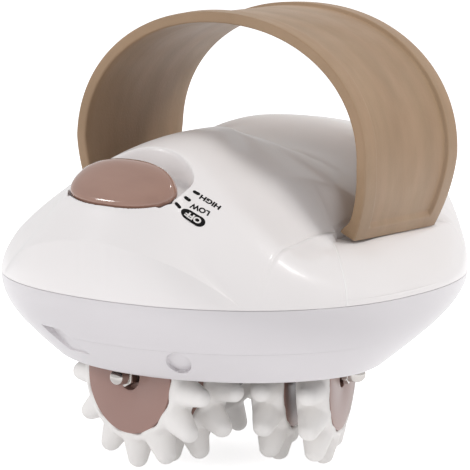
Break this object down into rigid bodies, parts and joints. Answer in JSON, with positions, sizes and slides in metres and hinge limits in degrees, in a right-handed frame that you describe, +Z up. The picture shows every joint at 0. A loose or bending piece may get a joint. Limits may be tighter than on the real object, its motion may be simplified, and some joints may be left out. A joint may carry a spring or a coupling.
{
  "type": "anti-cellulite massager",
  "caption": "Hand-held electric body massager: domed white housing with a hand strap, a slide switch and a motor-driven rotor with studded wheels underneath.",
  "frame": {"origin": "on the ground under the rotor's axis, at the tips of the studs the massager stands on", "axes": "+Z up along the rotor's axis, -Y towards the switch end, +X to the right seen from behind the switch"},
  "size_m": [0.124, 0.1573, 0.1328],
  "materials": {
    "white_gloss_plastic": "gloss",
    "taupe_rubber": "satin",
    "rosy_brown_plastic": "gloss",
    "dark_brown_plastic": "satin",
    "white_rubber": "satin",
    "grey_plastic": "satin",
    "steel": "satin",
    "zinc_plated_steel": "satin",
    "chrome": "polished",
    "black_plastic": "satin",
    "board": "satin",
    "brass": "satin",
    "nylon": "satin"
  },
  "bodies": {
    "housing": {"upper_shell": "white_gloss_plastic", "lower_shell": "white_gloss_plastic", "base_ring": "white_gloss_plastic", "hand_strap": "taupe_rubber", "strap_clamp_left": "grey_plastic", "strap_clamp_right": "grey_plastic", "chassis_plate": "grey_plastic", "gear_cover": "grey_plastic", "clamp_screw_left_1": "steel", "clamp_screw_left_2": "steel", "clamp_screw_right_1": "steel", "clamp_screw_right_2": "steel", "board_screw_1": "steel", "board_screw_2": "steel", "chassis_screw_1": "steel", "chassis_screw_2": "steel", "chassis_screw_3": "steel", "gear_pin": "steel", "cover_screw_1": "steel", "cover_screw_2": "steel", "cover_screw_3": "steel", "cover_screw_4": "steel", "motor_screw_1": "steel", "motor_screw_2": "steel", "housing_screw_1": "steel", "housing_screw_2": "steel", "housing_screw_3": "steel", "housing_screw_4": "steel", "slide_switch": "black_plastic", "power_inlet": "black_plastic", "circuit_board": "board", "spindle_bush": "brass", "motor": "zinc_plated_steel"},
    "switch": {"switch_knob": "rosy_brown_plastic", "switch_slider": "dark_brown_plastic"},
    "rotor": {"rotor_hub": "grey_plastic", "spindle": "steel", "output_gear": "nylon", "axle_1": "steel", "axle_2": "steel", "axle_3": "steel", "dome_nut_1": "chrome", "dome_nut_2": "chrome", "dome_nut_3": "chrome"},
    "middle_gear_set": {"middle_gear": "nylon"},
    "motor_drive": {"motor_pinion": "brass", "motor_shaft": "steel"},
    "wheel_1_outer": {"wheel_hub_1_outer": "rosy_brown_plastic", "tyre_1_outer": "white_rubber"},
    "wheel_1_inner": {"wheel_hub_1_inner": "rosy_brown_plastic", "tyre_1_inner": "white_rubber"},
    "wheel_2_outer": {"wheel_hub_2_outer": "rosy_brown_plastic", "tyre_2_outer": "white_rubber"},
    "wheel_2_inner": {"wheel_hub_2_inner": "rosy_brown_plastic", "tyre_2_inner": "white_rubber"},
    "wheel_3_outer": {"wheel_hub_3_outer": "rosy_brown_plastic", "tyre_3_outer": "white_rubber"},
    "wheel_3_inner": {"wheel_hub_3_inner": "rosy_brown_plastic", "tyre_3_inner": "white_rubber"}
  },
  "joints": [
    {"name": "switch_slide", "type": "slide", "parent": "housing", "child": "switch", "axis": [0, 0.9397, 0.342], "range_m": [0, 0.007]},
    {"name": "rotor_spin", "type": "hinge", "parent": "housing", "child": "rotor", "pos_m": [0, 0, 0.0592], "axis": [0, 0, 1], "continuous": true},
    {"name": "middle_gear_spin", "type": "hinge", "parent": "housing", "child": "middle_gear_set", "pos_m": [0, 0.0184, 0.065], "axis": [0, 0, 1], "continuous": true},
    {"name": "motor_spin", "type": "hinge", "parent": "housing", "child": "motor_drive", "pos_m": [0, 0.0345, 0.066], "axis": [0, 0, 1], "continuous": true},
    {"name": "wheel_1_outer_spin", "type": "hinge", "parent": "rotor", "child": "wheel_1_outer", "pos_m": [-0.00646, -0.03206, 0.0278], "axis": [-0.1977, -0.9803, 0], "continuous": true},
    {"name": "wheel_1_inner_spin", "type": "hinge", "parent": "rotor", "child": "wheel_1_inner", "pos_m": [-0.00376, -0.01862, 0.0278], "axis": [-0.1977, -0.9803, 0], "continuous": true},
    {"name": "wheel_2_outer_spin", "type": "hinge", "parent": "rotor", "child": "wheel_2_outer", "pos_m": [0.03099, 0.01043, 0.0278], "axis": [0.9478, 0.319, 0], "continuous": true},
    {"name": "wheel_2_inner_spin", "type": "hinge", "parent": "rotor", "child": "wheel_2_inner", "pos_m": [0.01801, 0.00606, 0.0278], "axis": [0.9478, 0.319, 0], "continuous": true},
    {"name": "wheel_3_outer_spin", "type": "hinge", "parent": "rotor", "child": "wheel_3_outer", "pos_m": [-0.02453, 0.02162, 0.0278], "axis": [-0.7501, 0.6613, 0], "continuous": true},
    {"name": "wheel_3_inner_spin", "type": "hinge", "parent": "rotor", "child": "wheel_3_inner", "pos_m": [-0.01425, 0.01256, 0.0278], "axis": [-0.7501, 0.6613, 0], "continuous": true}
  ],
  "couplings": [
    {"joint": "middle_gear_spin", "follows": "rotor_spin", "ratio": -3.6},
    {"joint": "motor_spin", "follows": "rotor_spin", "ratio": 12.96}
  ]
}
